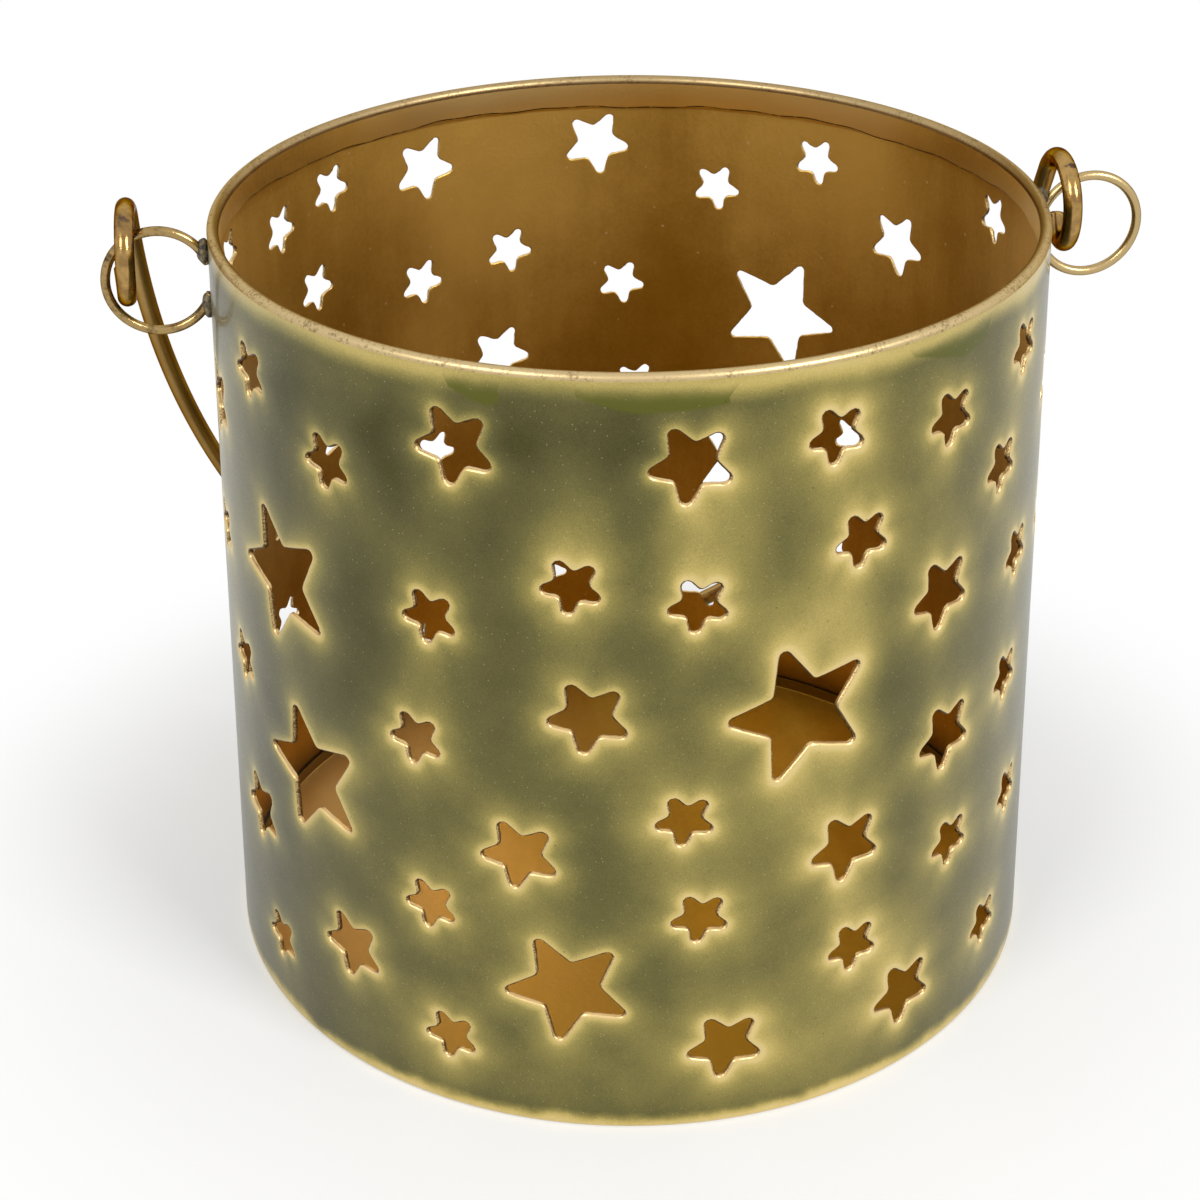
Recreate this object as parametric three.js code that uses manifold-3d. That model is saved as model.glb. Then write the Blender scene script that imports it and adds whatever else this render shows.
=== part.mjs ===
// Star lantern: a sheet-metal bucket pierced with stars, two wire ears and a loose wire bail.
// Millimetres, +Z up. The origin is the middle of the underside. The ears lie on the X axis, and the
// bail hangs behind the body and leans on its back, on the +Y side.
import * as THREE from 'three';
import { mergeGeometries, mergeVertices } from 'three/addons/utils/BufferGeometryUtils.js';
import Module from 'manifold-3d';

// Body wall: one rolled sheet, a little wider at the foot than under the rim
const wallHeight = 127;
const topRadius = 65;
const footRadius = 69;
const sheetThickness = 0.8;
const wallFacets = 48;

// Rim: the top edge folded over to the inside and hammered down as a hem, its fold a little swollen
const rimSwell = 0.07;
const hemHeight = 5.5;
const hemGap = 0.1;
const rimSteps = 8;

// Base: a shallow pan let into the foot, its flange upright inside the wall
const panThickness = 0.8;
const panFlangeHeight = 3;
const panBendRadius = 1.6;
const panFit = 0.3;
const bendSteps = 4;

// Stars: one panel of punched stars, repeated round the sheet from its seam behind the right ear.
// A place is the turn from the panel's start in degrees, the height above the foot and, where it
// is not the common one, the tilt in degrees. In the panels before the front one the last columns
// of stars were marked a little early.
const panelTurn = 153.3;
const frontPanelStart = 182.5;
const panelsBeforeFront = 2;
const panelsAfterFront = 1;
const lastColumnsFrom = 115;
const lastColumnsSlip = -6;
const starTips = 5;
const starTilt = -8;
const starEdgeMargin = 0.8;
const starCutDepth = 8;
const starSizes = [
  {
    tipRadius: 4.3,
    waistRadius: 2.5,
    tipRound: 0,
    places: [
      [5, 80], [13, 61], [21, 114], [22, 13], [38, 106.5], [51, 66], [52.5, 37], [53.5, 87], [55, 13],
      [72, 95], [86, 56.5], [87.5, 92], [88, 39], [105, 115], [109, 98], [109.5, 27.5], [123.5, 112],
      [127, 38], [136, 99], [137.5, 15], [141, 60], [142, 115.5], [143, 81], [144.5, 36],
    ],
  },
  {
    tipRadius: 5.9,
    waistRadius: 3.4,
    tipRound: 0,
    places: [
      [5.5, 102.5], [17, 35], [39, 22.5], [57.5, 114.5], [65, 49.5], [74, 74], [86.5, 113.5], [91.5, 14.5],
      [108, 46.5], [118.5, 14], [123, 84], [125, 58.5],
    ],
  },
  {
    tipRadius: 9.7,
    waistRadius: 5.1,
    tipRound: 0.6,
    places: [[71, 26]],
  },
  {
    tipRadius: 11.1,
    waistRadius: 5.7,
    tipRound: 0.6,
    places: [[27, 83, -13], [32, 51, -18], [101, 72, -20]],
  },
];

// Ears: open wire rings standing on edge, both ends brazed to the wall just under the rim.
// The left ring sits deeper in its braze and a little lower than the right one.
const ringRadius = 8.1;
const ringWire = 1.5;
const rightRing = { outFromWall: 9.35, belowRim: 8 };
const leftRing = { outFromWall: 7.7, belowRim: 8.6 };
const ringOpening = 36;
const brazeSeatGap = 0.3;
const brazeAngle = 33;
const brazeHalf = { across: 1.5, along: 2.7 };
const ringSteps = 36;
const ringSides = 8;
const brazeSides = 10;
const brazeRows = 6;

// Bail: one wire, each end bent round into an eye that stops short of closing, threaded on the rings
const bailWire = 3;
const eyeInsideRing = 1.3;
const eyeHangGap = 1.95;
const eyeSweep = 290;
const eyeLead = 1.6;
const eyeInset = 0.5;
const hingeBelowRim = 1.8;
const bailPush = 3.7;
const bowRise = 7;
const bailRestGap = 0.75;
const eyeSteps = 22;
const bowSteps = 44;
const bailSides = 8;

const degrees = Math.PI / 180;

// Outside radius of the body at a height
function wallRadius(height) {
  return footRadius + (topRadius - footRadius) * height / wallHeight;
}

const wasm = await Module();
wasm.setup();

// Closed solid for cutting and joining, from any closed geometry
function solidOf(geometry) {
  geometry.deleteAttribute('normal');
  geometry.deleteAttribute('uv');
  const merged = mergeVertices(geometry);
  const vertProperties = new Float32Array(merged.attributes.position.array);
  const triVerts = new Uint32Array(merged.index.array);
  return new wasm.Manifold(new wasm.Mesh({ numProp: 3, vertProperties, triVerts }));
}

// Geometry to draw, from a cut or joined solid
function geometryOf(solid) {
  const mesh = solid.getMesh();
  const geometry = new THREE.BufferGeometry();
  geometry.setAttribute('position', new THREE.BufferAttribute(mesh.vertProperties, mesh.numProp));
  geometry.setIndex(new THREE.BufferAttribute(mesh.triVerts, 1));
  geometry.computeVertexNormals();
  return geometry;
}

// Profile of radius and height points, turned about the Z axis
function revolve(profile) {
  const points = profile.map(([radius, height]) => new THREE.Vector2(radius, height));
  return new THREE.LatheGeometry(points, wallFacets).rotateX(Math.PI / 2);
}

// Points on an arc of an outline, from one angle to another
function arcPoints(centreX, centreY, radius, from, to, steps) {
  return Array.from({ length: steps + 1 }, (_, step) => {
    const angle = from + (to - from) * step / steps;
    return [centreX + radius * Math.cos(angle), centreY + radius * Math.sin(angle)];
  });
}

// Rolled wall: up the outside, round the rim, down the hem and down the inside to the foot
function wallProfile() {
  const hemDepth = 2 * sheetThickness + hemGap;
  const hemFoot = wallHeight - hemHeight;
  const foldRadius = hemDepth / 2 + rimSwell;
  const foldHeight = wallHeight - foldRadius;
  const foldCentre = wallRadius(foldHeight) - hemDepth / 2;
  const meet = Math.acos(hemDepth / 2 / foldRadius);
  const fold = arcPoints(foldCentre, foldHeight, foldRadius, -meet, Math.PI + meet, rimSteps);
  const foot = [wallRadius(0) - sheetThickness, 0];
  return [
    foot,
    [wallRadius(0), 0],
    ...fold,
    [wallRadius(hemFoot) - hemDepth, hemFoot],
    [wallRadius(hemFoot) - sheetThickness, hemFoot],
    foot,
  ];
}

// Star with one tip down: straight flanks between sharp waists and the tips, where a rounded
// tip is blunted by the chord of its rounding
function starOutline({ tipRadius, waistRadius, tipRound }) {
  const tipCentre = tipRadius - tipRound;
  const halfTurn = Math.PI / starTips;
  const towards = waistRadius * Math.cos(halfTurn) - tipCentre;
  const aside = waistRadius * Math.sin(halfTurn);
  const spread = Math.atan2(aside, towards) - Math.acos(tipRound / Math.hypot(towards, aside));
  const tipEnds = tipRound > 0 ? [-spread, spread] : [0];
  const outline = [];
  for (let tip = 0; tip < starTips; tip += 1) {
    const aim = 2 * halfTurn * tip - Math.PI / 2;
    for (const end of tipEnds) {
      const x = tipCentre * Math.cos(aim) + tipRound * Math.cos(aim + end);
      const y = tipCentre * Math.sin(aim) + tipRound * Math.sin(aim + end);
      outline.push(new THREE.Vector2(x, y));
    }
    const waist = new THREE.Vector2(Math.cos(aim + halfTurn), Math.sin(aim + halfTurn));
    outline.push(waist.multiplyScalar(waistRadius));
  }
  return new THREE.Shape(outline);
}

// Punch for one star: the outline driven through the wall square to it
function starPunch(size, turn, height, tilt) {
  const punch = new THREE.ExtrudeGeometry(starOutline(size), { depth: starCutDepth, bevelEnabled: false });
  const outward = new THREE.Vector3(Math.cos(turn * degrees), Math.sin(turn * degrees), 0);
  const up = new THREE.Vector3(0, 0, 1);
  const around = new THREE.Vector3().crossVectors(up, outward);
  const start = outward.clone().multiplyScalar(wallRadius(height) - starCutDepth / 2).setZ(height);
  punch.rotateZ(tilt * degrees);
  punch.applyMatrix4(new THREE.Matrix4().makeBasis(around, up, outward).setPosition(start));
  return punch;
}

// All punches that fit on the sheet, clear of its seam, its foot and its hem
function allPunches() {
  const punches = [];
  for (let panel = -panelsBeforeFront; panel <= panelsAfterFront; panel += 1) {
    for (const size of starSizes) {
      const reach = size.tipRadius + starEdgeMargin;
      for (const [placeTurn, height, tilt = starTilt] of size.places) {
        const slip = panel < 0 && placeTurn > lastColumnsFrom ? lastColumnsSlip : 0;
        const turn = frontPanelStart + panel * panelTurn + placeTurn + slip;
        const seamTurn = reach / wallRadius(height) / degrees;
        const onSheet = turn > seamTurn && turn < 360 - seamTurn;
        const onWall = height > reach && height < wallHeight - hemHeight - reach;
        if (onSheet && onWall) punches.push(starPunch(size, turn, height, tilt));
      }
    }
  }
  return mergeGeometries(punches);
}

function bodyWall() {
  return geometryOf(solidOf(revolve(wallProfile())).subtract(solidOf(allPunches())));
}

// Pan: flat floor, rounded bend, flange that follows the wall's slope
function basePan() {
  const outside = (height) => wallRadius(height) - sheetThickness - panFit;
  const bendCentre = outside(panBendRadius) - panBendRadius;
  const innerBend = panBendRadius - panThickness;
  const outerBend = arcPoints(bendCentre, panBendRadius, panBendRadius, -Math.PI / 2, 0, bendSteps);
  const insideBend = arcPoints(bendCentre, panBendRadius, innerBend, 0, -Math.PI / 2, bendSteps);
  return revolve([
    [0, 0],
    ...outerBend,
    [outside(panFlangeHeight), panFlangeHeight],
    [outside(panFlangeHeight) - panThickness, panFlangeHeight],
    ...insideBend,
    [0, panThickness],
  ]);
}

// Round wire along a curve, with flat cut ends
function wire(curve, diameter, steps, sides) {
  const section = new THREE.Shape().absarc(0, 0, diameter / 2, 0, 2 * Math.PI);
  return new THREE.ExtrudeGeometry(section, { extrudePath: curve, steps, curveSegments: sides / 2 });
}

// Height and distance from the axis of a ring's middle
function ringPlace({ outFromWall, belowRim }) {
  const height = wallHeight - belowRim;
  return { height, centre: wallRadius(height) + outFromWall };
}

// Ring from its upper end round to its lower end, open towards the wall
class RingCurve extends THREE.Curve {
  constructor(place) {
    super();
    this.place = place;
  }

  getPoint(t, target = new THREE.Vector3()) {
    const angle = (ringOpening / 2 + (360 - ringOpening) * t) * degrees;
    const x = this.place.centre - ringRadius * Math.cos(angle);
    return target.set(x, 0, this.place.height + ringRadius * Math.sin(angle));
  }
}

// Ear on the +X side: the ring with a lump of braze at each end, cut to the wall
function ear(ring) {
  const place = ringPlace(ring);
  let joined = solidOf(wire(new RingCurve(place), ringWire, ringSteps, ringSides));
  const ringReach = place.centre - ringRadius * Math.cos(brazeAngle * degrees);
  const fillRadius = (wallRadius(place.height) + ringReach) / 2;
  const fillHeight = ringRadius * Math.sin(brazeAngle * degrees);
  for (const side of [1, -1]) {
    const fillet = new THREE.SphereGeometry(1, brazeSides, brazeRows).rotateX(Math.PI / 2);
    fillet.scale(brazeHalf.across, brazeHalf.across, brazeHalf.along);
    fillet.translate(fillRadius, 0, place.height + side * fillHeight);
    joined = joined.add(solidOf(fillet));
  }
  const low = place.height - 2 * ringRadius;
  const high = place.height + 2 * ringRadius;
  const body = revolve([
    [0, low],
    [wallRadius(low) + brazeSeatGap, low],
    [wallRadius(high) + brazeSeatGap, high],
    [0, high],
  ]);
  return geometryOf(joined.subtract(solidOf(body)));
}

// Bail hanging straight down from its hinge at the origin of its own group: the eyes turn about a point
// just below the hinge, and the bow is half an ellipse in the plane of the eyes' rear edges.
// At rest the whole bail is pushed over to -X.
const eyeRadius = ringRadius - eyeInsideRing;
const eyeDrop = eyeRadius - (bailWire + ringWire) / 2 - eyeHangGap;
const halfSpan = (ringPlace(rightRing).centre + ringPlace(leftRing).centre) / 2 - eyeInset;
const hingeHeight = wallHeight - hingeBelowRim;

// Where the middle of the bow comes to rest against the back of the body
const bowOut = wallRadius(bowRise) + bailRestGap + bailWire / 2;
const bowDown = hingeHeight - bowRise;
const bailLength = Math.sqrt(bowOut ** 2 + bowDown ** 2 - eyeRadius ** 2);
const bailLean = Math.atan2(bailLength, eyeRadius) - Math.atan2(bowDown, bowOut);

class BailCurve extends THREE.Curve {
  // Equal steps of the parameter, so that the small eyes get enough of them
  getUtoTmapping(u) {
    return u;
  }

  // Eye from its leg, at 0, to its cut end, at 1, on the side given by its sign
  eyePoint(part, side, target) {
    const angle = -part * eyeSweep * degrees;
    const x = side * (halfSpan + eyeLead * part ** 2);
    return target.set(x, eyeRadius * Math.cos(angle), -eyeDrop - eyeRadius * Math.sin(angle));
  }

  getPoint(t, target = new THREE.Vector3()) {
    const step = t * (2 * eyeSteps + bowSteps);
    if (step < eyeSteps) return this.eyePoint(1 - step / eyeSteps, -1, target);
    if (step > eyeSteps + bowSteps) return this.eyePoint((step - eyeSteps - bowSteps) / eyeSteps, 1, target);
    const angle = Math.PI * (step - eyeSteps) / bowSteps;
    const depth = eyeDrop + (bailLength - eyeDrop) * Math.sin(angle);
    return target.set(-halfSpan * Math.cos(angle), eyeRadius, -depth);
  }
}

// Green lacquer over gilt outside, gilt wire
const lacquer = { color: 0x7d7a45, roughness: 0.3, metalness: 0.6 };
const gilt = { color: 0x8a6526, roughness: 0.4, metalness: 0.8 };
const wireGilt = { color: 0xa98443, roughness: 0.28, metalness: 0.95 };

function piece(name, geometry, finish) {
  const mesh = new THREE.Mesh(geometry, new THREE.MeshStandardMaterial(finish));
  mesh.name = name;
  return mesh;
}

const lantern = new THREE.Group();
lantern.add(piece('body_wall', bodyWall(), lacquer));
lantern.add(piece('base_pan', basePan(), gilt));

const rightEar = piece('right_ear', ear(rightRing), wireGilt);
lantern.add(rightEar);

const leftEar = piece('left_ear', ear(leftRing), wireGilt);
leftEar.rotation.z = Math.PI;
lantern.add(leftEar);

const swing = new THREE.Group();
swing.position.set(-bailPush, 0, hingeHeight);
swing.rotation.x = bailLean;
const bailShape = wire(new BailCurve(), bailWire, 2 * eyeSteps + bowSteps, bailSides);
swing.add(piece('bail_handle', bailShape, wireGilt));
lantern.add(swing);

export default lantern;
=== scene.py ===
"""Star lantern: a pierced, lacquered bucket with ring ears and a wire bail, dressed on its CAD frame."""
import math

import bmesh
import bpy
import numpy as np
from mathutils import Matrix
from mathutils.geometry import delaunay_2d_cdt


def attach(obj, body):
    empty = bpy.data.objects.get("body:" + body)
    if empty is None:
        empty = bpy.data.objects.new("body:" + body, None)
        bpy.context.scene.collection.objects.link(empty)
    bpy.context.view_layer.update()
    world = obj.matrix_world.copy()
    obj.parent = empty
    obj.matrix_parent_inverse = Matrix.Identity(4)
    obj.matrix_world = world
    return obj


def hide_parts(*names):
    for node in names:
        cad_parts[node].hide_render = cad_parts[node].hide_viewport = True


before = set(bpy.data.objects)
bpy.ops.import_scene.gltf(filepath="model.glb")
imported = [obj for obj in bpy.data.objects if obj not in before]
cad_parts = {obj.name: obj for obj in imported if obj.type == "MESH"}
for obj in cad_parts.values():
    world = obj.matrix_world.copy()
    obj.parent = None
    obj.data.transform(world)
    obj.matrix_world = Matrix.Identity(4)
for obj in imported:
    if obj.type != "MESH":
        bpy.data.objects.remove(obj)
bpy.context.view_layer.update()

# Base pan: the floor of the lantern, a shallow pressed pan let into the foot.
# Satin brown gilt, with faint straight brushed streaks; its flange stands upright inside the wall.
MM = 0.001
WALL_HEIGHT = 127.0
TOP_RADIUS = 65.0
FOOT_RADIUS = 69.0
SHEET = 0.8
PAN_SHEET = 0.8
PAN_FLANGE = 3.0
PAN_BEND = 1.6
PAN_FIT = 0.3
PAN_LIP = 0.15
PAN_LIP_EDGE = 0.05
PAN_INSIDE_BEND = 0.2
FLOOR_RINGS = 24
TURN_STEPS = 360


def wall_radius(height):
    """Outside radius of the wall: a straight taper from the foot to the rim."""
    return FOOT_RADIUS + (TOP_RADIUS - FOOT_RADIUS) * height / WALL_HEIGHT


def arc(centre, radius, start, stop, count):
    """Points on a circle about centre, evenly spaced in angle from start to stop, in degrees."""
    angle = np.radians(np.linspace(start, stop, count))
    return np.column_stack([centre[0] + radius * np.cos(angle), centre[1] + radius * np.sin(angle)])


def grid_faces(rows, columns, wrap):
    """Quads of a grid of points, row by row; with wrap, the last column joins the first."""
    row, column = np.meshgrid(np.arange(rows - 1), np.arange(columns - (not wrap)), indexing="ij")
    following = (column + 1) % columns
    corners = [row * columns + column, row * columns + following]
    corners += [(row + 1) * columns + following, (row + 1) * columns + column]
    return np.stack(corners, axis=-1).reshape(-1, 4)


def turned(profile, steps):
    """Surface of revolution: radius and height along the profile, azimuth around the Z axis."""
    azimuth = np.radians(np.arange(steps) * 360.0 / steps)
    radius, height = profile[:, :1], np.repeat(profile[:, 1:], steps, axis=1)
    points = np.stack([radius * np.cos(azimuth), radius * np.sin(azimuth), height], axis=-1)
    return points.reshape(-1, 3), grid_faces(len(profile), steps, True)


def piece(name, points, faces, materials, values=None, parts=None):
    """Closed, smooth mesh from points in millimetres, with named point values and a material per face."""
    mesh = bpy.data.meshes.new(name)
    mesh.from_pydata((np.asarray(points) * MM).tolist(), [], [list(map(int, face)) for face in faces])
    for key, value in (values or {}).items():
        mesh.attributes.new(key, "FLOAT", "POINT").data.foreach_set("value", np.asarray(value, np.float32))
    for material in materials:
        mesh.materials.append(material)
    if parts is not None:
        mesh.polygons.foreach_set("material_index", np.asarray(parts, np.int32))
    mesh.polygons.foreach_set("use_smooth", np.ones(len(mesh.polygons), bool))
    joined = bmesh.new()
    joined.from_mesh(mesh)
    bmesh.ops.remove_doubles(joined, verts=joined.verts, dist=2e-6)
    bmesh.ops.dissolve_degenerate(joined, edges=joined.edges, dist=1e-7)
    bmesh.ops.recalc_face_normals(joined, faces=joined.faces)
    joined.to_mesh(mesh)
    joined.free()
    made = bpy.data.objects.new(name, mesh)
    bpy.context.scene.collection.objects.link(made)
    return made


class Wire:
    """One output of a shader node. Arithmetic on it adds Math nodes, and node() adds any other node."""

    def __init__(self, tree, socket):
        self.tree = tree
        self.socket = socket

    def node(self, kind, feeds=None, out=0, **settings):
        made = self.tree.nodes.new("ShaderNode" + kind)
        for key, value in settings.items():
            setattr(made, key, value)
        for key, value in (feeds or {}).items():
            if isinstance(value, Wire):
                self.tree.links.new(value.socket, made.inputs[key])
            else:
                made.inputs[key].default_value = value
        return Wire(self.tree, made.outputs[out])

    def maths(self, operation, first, second=0.0):
        return self.node("Math", {0: first, 1: second}, operation=operation)

    def __add__(self, other):
        return self.maths("ADD", self, other)

    __radd__ = __add__

    def __sub__(self, other):
        return self.maths("SUBTRACT", self, other)

    def __rsub__(self, other):
        return self.maths("SUBTRACT", other, self)

    def __mul__(self, other):
        return self.maths("MULTIPLY", self, other)

    __rmul__ = __mul__

    def __truediv__(self, other):
        return self.maths("DIVIDE", self, other)

    def most(self, other):
        return self.maths("MAXIMUM", self, other)

    def least(self, other):
        return self.maths("MINIMUM", self, other)

    def rise(self, low, high):
        """Smooth step from 0 at low to 1 at high."""
        feeds = {"Value": self, "From Min": low, "From Max": high}
        return self.node("MapRange", feeds, interpolation_type="SMOOTHSTEP")

    def tint(self, low, high):
        """Mix of two colours, or of a colour and another wire, by this wire."""
        feeds = {0: self, 6: low, 7: high}
        return self.node("Mix", feeds, out=2, data_type="RGBA")

    def ramp(self, *stops):
        """Colour by this wire, through stops of a place from 0 to 1 and a colour."""
        made = self.node("ValToRGB", {0: self})
        steps = made.socket.node.color_ramp.elements
        for place, colour in stops[1:-1]:
            steps.new(place)
        for step, (place, colour) in zip(steps, stops):
            step.position = place
            step.color = colour + (1.0,)
        return made

    def noise(self, scale, detail=3.0, roughness=0.55, stretch=(1.0, 1.0, 1.0)):
        """Fractal noise on this wire's coordinates, with features of about one over scale."""
        place = self.node("VectorMath", {0: self, 1: stretch}, operation="MULTIPLY")
        feeds = {"Vector": place, "Scale": scale, "Detail": detail, "Roughness": roughness}
        return self.node("TexNoise", feeds)

    def spots(self, scale, spread):
        """Round spots on this wire's coordinates: the distance to the nearest of scattered points."""
        feeds = {"Vector": self, "Scale": scale, "Randomness": spread}
        return self.node("TexVoronoi", feeds)


def finish(name):
    """A new material: itself, its Principled shader and a wire with the object's own coordinates."""
    material = bpy.data.materials.new(name)
    material.use_nodes = True
    tree = material.node_tree
    shader = tree.nodes["Principled BSDF"]
    start = tree.nodes.new("ShaderNodeTexCoord")
    return material, shader, Wire(tree, start.outputs["Object"])


def feed(shader, **inputs):
    """Sets or links a Principled shader's inputs; underscores in the names stand for spaces."""
    for key, value in inputs.items():
        socket = shader.inputs[key.replace("_", " ")]
        if isinstance(value, Wire):
            value.tree.links.new(value.socket, socket)
        else:
            socket.default_value = value


def bumped(height, strength, distance):
    """Normal of a surface raised by a height wire, in metres of distance."""
    return height.node("Bump", {"Height": height, "Strength": strength, "Distance": distance})


def pan_out(height):
    """Outside radius of the pan's flange: the wall's inside, less the fit."""
    return wall_radius(height) - SHEET - PAN_FIT


pan_bend = (pan_out(PAN_BEND) - PAN_BEND, PAN_BEND)
inside_centre = (pan_out(PAN_FLANGE) - PAN_LIP - PAN_INSIDE_BEND, PAN_SHEET + PAN_INSIDE_BEND)
floor_radii = np.linspace(0.0, inside_centre[0], FLOOR_RINGS, endpoint=False)
under_radii = np.linspace(0.0, pan_bend[0], FLOOR_RINGS, endpoint=False)
pan_profile = np.vstack([
    np.column_stack([under_radii, 0 * under_radii]),
    arc(pan_bend, PAN_BEND, -90, 0, 8),
    [(pan_out(PAN_FLANGE), PAN_FLANGE - drop) for drop in (PAN_LIP_EDGE, 0.0)],
    [(pan_out(PAN_FLANGE) - PAN_LIP, PAN_FLANGE - drop) for drop in (0.0, PAN_LIP_EDGE)],
    arc(inside_centre, PAN_INSIDE_BEND, 0, -90, 10),
    np.column_stack([floor_radii[::-1], 0 * floor_radii + PAN_SHEET]),
])
pan_gilt, shader, here = finish("brown_gilt")
mottle = here.noise(55.0, 4.0, 0.6)
grain = here.noise(900.0, 3.0, 0.7)
brushed = here.noise(260.0, 3.0, 0.6, (1.0, 0.08, 1.0))
tone = 0.55 * mottle + 0.2 * grain + 0.25 * brushed
colour = tone.rise(0.32, 0.68).tint((0.46, 0.275, 0.016, 1), (0.62, 0.39, 0.045, 1))
# Painted light: the floor is coloured paler towards the left, where the light through the open top falls.
left = 1.0 - (here.node("SeparateXYZ", {0: here}, out="X") / MM + 50.0 * mottle).rise(-30.0, 40.0)
colour = left.tint(colour, (0.84, 0.60, 0.24, 1))
# Painted shade: the floor is coloured darker towards the front, under the front wall.
front_painted_shade = 1.0 - (here.node("SeparateXYZ", {0: here}, out="Y") / MM + 40.0 * mottle).rise(-40.0, 30.0)
colour = (0.75 * front_painted_shade).tint(colour, (0.36, 0.21, 0.012, 1))
height = here.node("SeparateXYZ", {0: here}, out="Z") / MM
# Painted shade: the upright flange, in the corner where floor meets wall, is coloured nearly black.
colour = (0.85 * height.rise(0.81, 0.9)).tint(colour, (0.09, 0.045, 0.004, 1))
feed(shader, Base_Color=colour, Metallic=0.85, Roughness=0.4 + 0.2 * mottle)
feed(shader, Normal=bumped(grain + 0.6 * brushed, 0.25, 0.0002))
points, faces = turned(pan_profile, TURN_STEPS)
pan = piece("lantern_floor", points, faces, [pan_gilt])
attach(pan, "body")
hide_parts("base_pan")

# Body wall: one rolled sheet, pierced with stars, its top edge folded over to the inside as a narrow hem.
# Gilt all over and lacquered green outside; the skins are triangulated flat between the star outlines and
# wrapped on the taper, with a rounded cut edge round every star.
RIM_SWELL = 0.07
HEM_HEIGHT = 5.5
HEM_GAP = 0.1
HEM_EDGE_IN = 0.2
HEM_EDGE_UP = 0.25
HEM_TUCK = 0.7
FOLD_STEPS = 15
FOOT_ROUND = 0.3
PANEL_TURN = 153.3
FRONT_PANEL = 182.5
LAST_COLUMNS = 115
LAST_SLIP = -6
STAR_MARGIN = 0.8
STAR_TILT = -8
STAR_BURR = 0.035
STARS = [
    {
        "tip": 4.3, "waist": 2.5, "tip_round": 0.75, "waist_round": 1.0, "flank": 1,
        "places": [
            (5, 80), (13, 61), (21, 114), (22, 13), (38, 106.5), (51, 66), (52.5, 37), (53.5, 87), (55, 13),
            (72, 95), (86, 56.5), (87.5, 92), (88, 39), (105, 115), (109, 98), (109.5, 27.5), (123.5, 112),
            (127, 38), (136, 99), (137.5, 15), (141, 60), (142, 115.5), (143, 81), (144.5, 36),
        ],
    },
    {
        "tip": 5.9, "waist": 3.4, "tip_round": 0.8, "waist_round": 1.1, "flank": 2,
        "places": [
            (5.5, 102.5), (17, 35), (39, 22.5), (57.5, 114.5), (65, 49.5), (74, 74), (86.5, 113.5),
            (91.5, 14.5), (108, 46.5), (118.5, 14), (123, 84), (125, 58.5),
        ],
    },
    {
        "tip": 9.7, "waist": 5.1, "tip_round": 0.75, "waist_round": 1.2, "flank": 5,
        "places": [(71, 26)],
    },
    {
        "tip": 11.1, "waist": 5.7, "tip_round": 0.75, "waist_round": 1.2, "flank": 6,
        "places": [(27, 83, -13), (32, 51, -18), (101, 72, -20)],
    },
]
# Edge of a star from the skin to the inside: how far outside the cut, and how deep in the sheet
EDGE_RINGS = [(0.55, 0.0), (0.36, 0.03), (0.16, 0.12), (0.03, 0.32), (0.0, 0.74), (0.04, SHEET), (0.3, SHEET)]
UNROLL = math.radians((TOP_RADIUS + FOOT_RADIUS) / 2)
# How far the loose points of a skin keep from the sheet's edges and from the stars, and their rows' spacing
FIRST_CLEAR = 0.8
LAST_CLEAR = 0.6
STAR_CLEAR = 0.6
ROW_STEP = 0.87
# Finishes of the wall's faces, in the order of its materials
OUTSIDE, INSIDE, ROLLED_RIM, RAW_HEM = range(4)


def star_ring(star, tilt, grow):
    """Star outline grown by a distance: arcs at the tips and the waists, joined by their common tangents."""
    tip_centre = star["tip"] - star["tip_round"]
    waist_centre = star["waist"] + star["waist_round"]
    half = math.pi / 5
    away = np.array([waist_centre * math.cos(half) - tip_centre, waist_centre * math.sin(half)])
    reach = (star["tip_round"] + star["waist_round"]) / np.hypot(*away)
    lean = math.degrees(math.atan2(away[1], away[0]) - math.acos(reach))
    tip = arc((tip_centre, 0), star["tip_round"] + grow, -lean, lean, 5)
    hollow = (waist_centre * math.cos(half), waist_centre * math.sin(half))
    waist = arc(hollow, -(star["waist_round"] - grow), lean, 72 - lean, 4)
    turn = np.array([[math.cos(2 * half), math.sin(2 * half)], [-math.sin(2 * half), math.cos(2 * half)]])
    part = np.linspace(0, 1, star["flank"] + 2)[1:-1, None]
    down = tip[-1] + (waist[0] - tip[-1]) * part
    up = waist[-1] + (tip[0] @ turn - waist[-1]) * part
    fifth = np.vstack([tip, down, waist, up])
    angle = math.radians(tilt - 90)
    aim = np.array([[math.cos(angle), math.sin(angle)], [-math.sin(angle), math.cos(angle)]])
    return np.vstack([fifth @ np.linalg.matrix_power(turn, k) for k in range(5)]) @ aim


placed = []
for panel in range(-2, 2):
    for star in STARS:
        for turn, height, *own_tilt in star["places"]:
            slip = LAST_SLIP if panel < 0 and turn > LAST_COLUMNS else 0
            azimuth = FRONT_PANEL + panel * PANEL_TURN + turn + slip
            margin = math.degrees((star["tip"] + STAR_MARGIN) / wall_radius(height))
            if margin < azimuth < 360 - margin:
                placed.append((star, azimuth, height, (own_tilt or [STAR_TILT])[0]))


def unrolled(star, azimuth, height, tilt, grow):
    """Star outline on the flat sheet: millimetres along the mean circumference, and height."""
    ring = star_ring(star, tilt, grow)
    return np.column_stack([
        UNROLL * (azimuth + np.degrees(ring[:, 0] / wall_radius(height))),
        height + ring[:, 1],
    ])


def beside(flat, azimuth, height):
    """Points of the flat sheet seen from a place on it, the short way round where the sheet's ends meet."""
    across = (flat[:, 0] - UNROLL * (azimuth - 180)) % (UNROLL * 360) - UNROLL * 180
    return np.column_stack([across, flat[:, 1] - height])


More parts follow.
